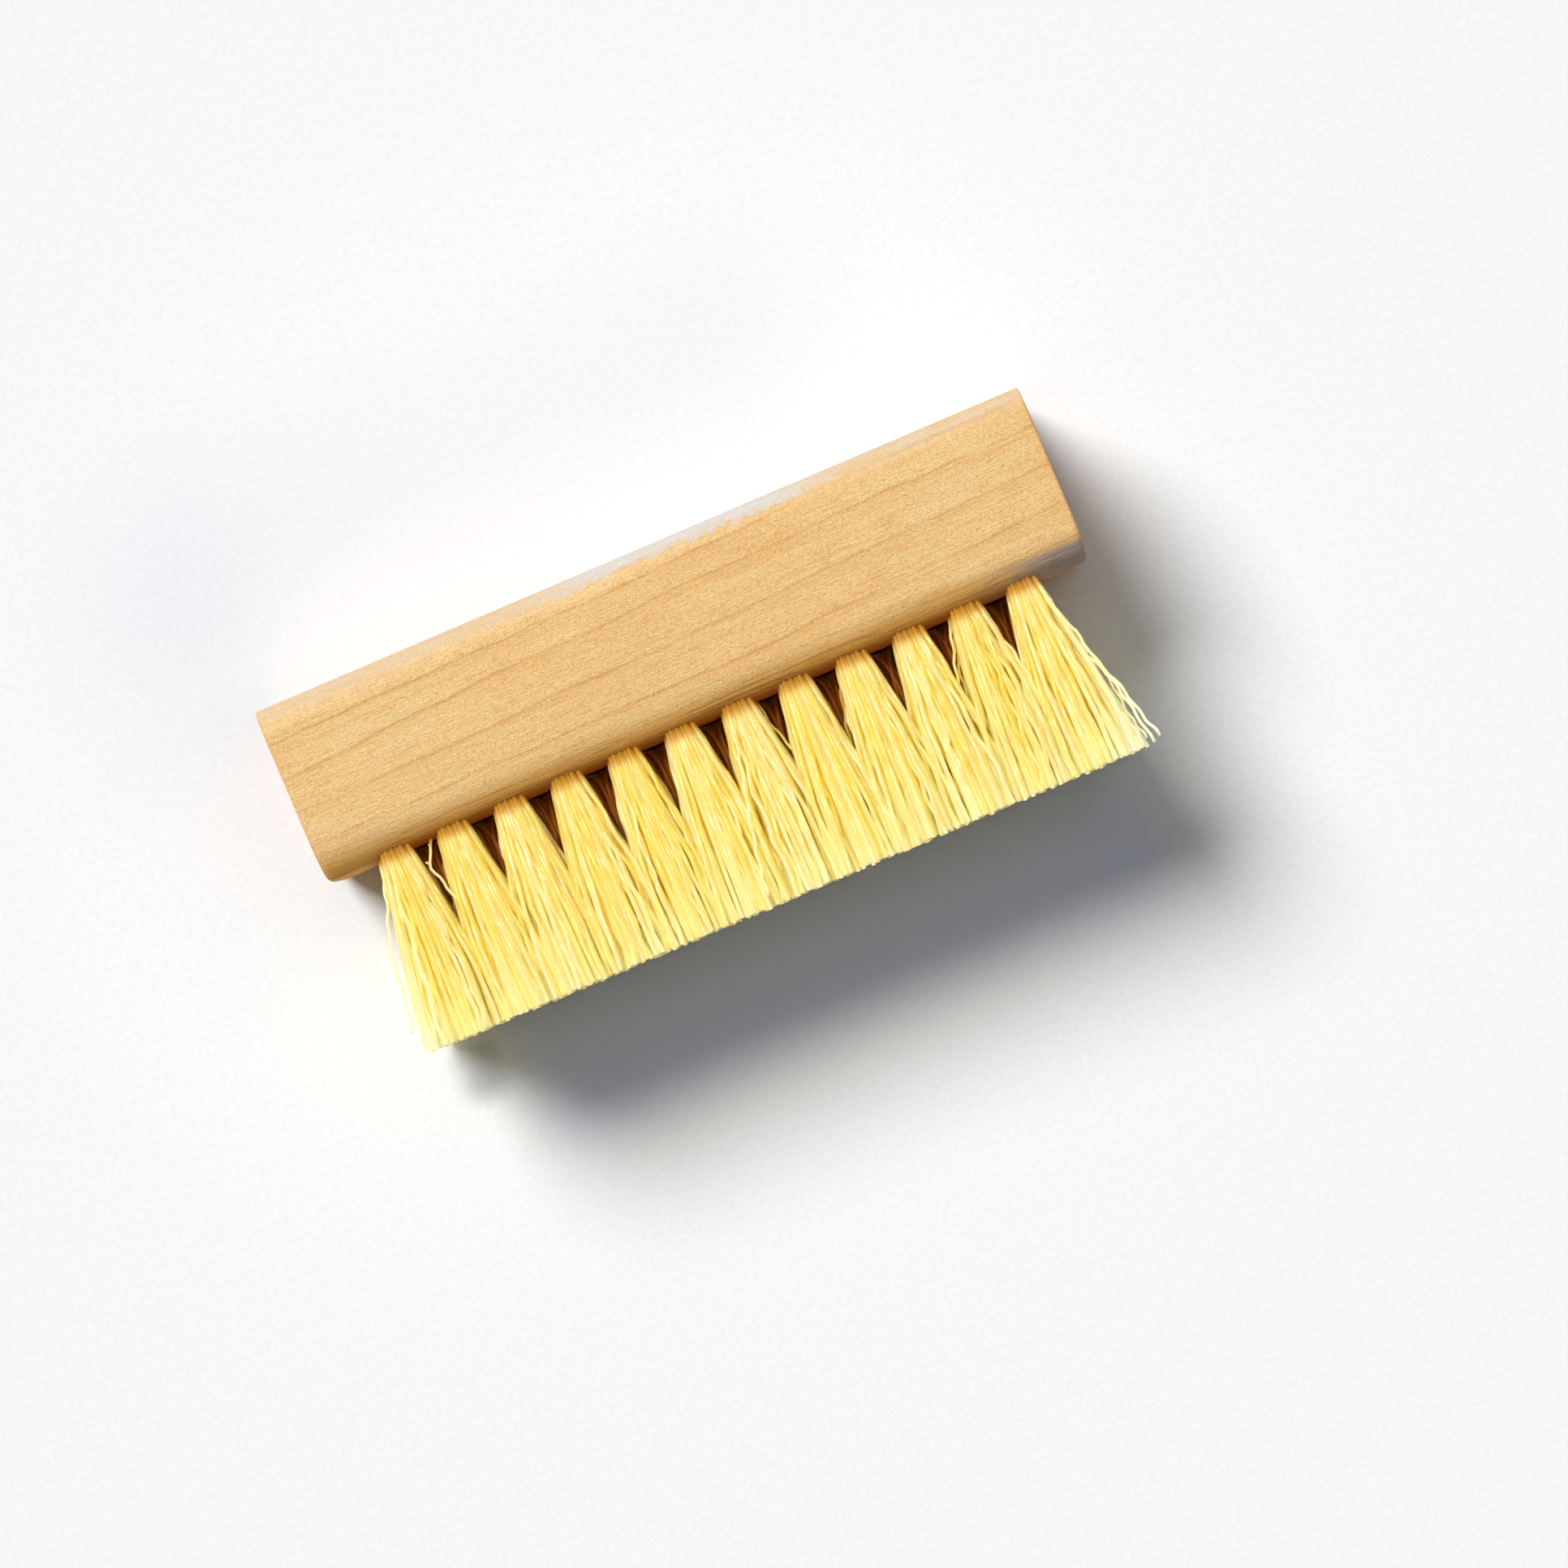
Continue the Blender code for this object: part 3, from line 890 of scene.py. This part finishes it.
def addTufts(look, edgeRadius, filament, wire):
    tree = tuftTree(look)
    nodes = sorted(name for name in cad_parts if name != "block")
    rows = sorted({name.split("_")[1] for name in nodes})
    lastColumn = len(nodes) // len(rows)
    faces = 0
    axes = []
    for seed, node in enumerate(nodes, 1):
        values = tuftValues(look, node, rows, lastColumn)
        axes.append((values["axisX"], values["axisZ"]))
        values["seed"] = seed
        values["lean"] = noise.noise(Vector((seed * 1.7, 0, 0))) * look["leanMost"]
        values["edgeStart"] = (blockHigh.z - blockLow.z) / 2 - edgeRadius
        values["edgeRadius"] = edgeRadius
        values["filament"] = filament
        values["wire"] = wire
        name = node.replace("tuft", "bristles")
        mesh = growTuft(tree, name, values)
        addStrays(strandLook, name, mesh)
        piece = addPiece(name, mesh, filament)
        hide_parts(node)
        faces += len(mesh.polygons)
    print("bristles", faces, "faces")
    return axes


# Studio

studio = {
    "turn": math.radians(23.124),  # the block rises to the right by this much in the picture
    "centre": (7.2 * mm, -13.3 * mm),  # the point under the middle of the picture
    "width": 254.7 * mm,  # of the picture, at the block's upper face
    "distance": 1200 * mm,
    # for each lamp, the way to it round from +X, its height and its width, all in degrees, and its power
    "lamps": {
        "window": (117, 47.6, 28, 3.62),
        "ceiling": (28, 80, 40, 0.44),
    },
    "skyPower": 0.045,
    "skyTint": (0.6, 0.9, 1.4, 1.0),  # evens out the warm light that the bristles let through
    "floorSize": 6,  # in metres
    "floor": 241,  # the paper's grey, from 0 to 255
    # painted shade on the paper: where the block and the bristles throw warm light it is painted darker
    # and cooler, and the last patch is a painted shadow that fills out the shadow's end. Each is a
    # middle, half size and soft border in millimetres, then its tint and share.
    "shades": [
        (-22, 28, 44, 20, 44, (0.3, 0.4, 0.6, 1.0), 0.17),
        (6, -40, 48, 6, 16, (0.73, 0.76, 0.97, 1.0), 0.9),
        (-58.5, -37.5, 0.8, 2, 5.5, (0.2, 0.2, 0.21, 1.0), 0.5),
    ],
    "bounces": 12,  # light passes through many filaments
    "scatterings": 10,
    "clearings": 4,
}


def addFloor(look):
    bpy.ops.mesh.primitive_plane_add(size=look["floorSize"])
    floor = bpy.context.object
    floor.name = "paper_floor"
    material, board, shader = newMaterial("paper", {"Roughness": 0.9, "Specular IOR Level": 0.1})
    place = inMillimetres(board)
    speck = board.noise(place, 3.0, 0.6)
    grey = look["floor"]
    colour = board.mix(rgb(grey, grey, grey), rgb(grey + 5, grey + 5, grey + 5), speck.step(0.3, 0.7))
    x, y, _ = place.xyz()
    # the painted shade and shadow patches
    for middleX, middleY, halfX, halfY, border, tint, share in look["shades"]:
        beside = (abs(x - middleX) - halfX).atLeast(0.0)
        beyond = (abs(y - middleY) - halfY).atLeast(0.0)
        away = (beside ** 2 + beyond ** 2) ** 0.5
        colour = board.mix(colour, tint, (1 - away.step(0, border)) * share)
    board.feed(shader.inputs["Base Color"], colour)
    floor.data.materials.append(material)


def addLamp(name, turn, rise, width, power):
    light = bpy.data.lights.new(name, "SUN")
    light.energy = power
    light.angle = math.radians(width)
    lamp = bpy.data.objects.new(name, light)
    turn = math.radians(turn)
    rise = math.radians(rise)
    side = math.cos(rise)
    towards = Vector((side * math.cos(turn), side * math.sin(turn), math.sin(rise)))
    lamp.rotation_euler = towards.to_track_quat("Z", "Y").to_euler()
    bpy.context.scene.collection.objects.link(lamp)


def addLights(look):
    for name, values in look["lamps"].items():
        addLamp(name, *values)
    world = bpy.data.worlds.new("studio")
    world.use_nodes = True
    bpy.context.scene.world = world
    board = Board(world.node_tree)
    sky = world.node_tree.nodes["Background"]
    ray = board.add("ShaderNodeLightPath", None, None, "Is Camera Ray")
    seen = ray.atLeast(ray.out("Is Glossy Ray")).atLeast(ray.out("Is Transmission Ray"))
    board.feed(sky.inputs["Color"], board.mix(look["skyTint"], (1.0, 1.0, 1.0, 1.0), seen))
    board.feed(sky.inputs["Strength"], look["skyPower"] + seen * (1 - look["skyPower"]))
    cycles = bpy.context.scene.cycles
    cycles.max_bounces = look["bounces"]
    cycles.diffuse_bounces = look["scatterings"]
    cycles.transmission_bounces = look["scatterings"]
    cycles.transparent_max_bounces = look["clearings"]


def addCamera(look):
    lens = bpy.data.cameras.new("camera")
    lens.lens = lens.sensor_width * look["distance"] / look["width"]
    lens.clip_start = 10 * mm
    camera = bpy.data.objects.new("camera", lens)
    camera.location = (*look["centre"], blockHigh.z + look["distance"])
    camera.rotation_euler = (0, 0, -look["turn"])
    bpy.context.scene.collection.objects.link(camera)
    bpy.context.scene.camera = camera


filament = filamentMaterial(filamentLook)
axes = addTufts(tuftLook, blockShape["bristleEdge"], filament, steelMaterial())
addBlock(blockShape, axes, woodMaterial(woodLook))
addFloor(studio)
addLights(studio)
addCamera(studio)
bpy.context.scene.view_settings.view_transform = "Standard"
print("studio ready")
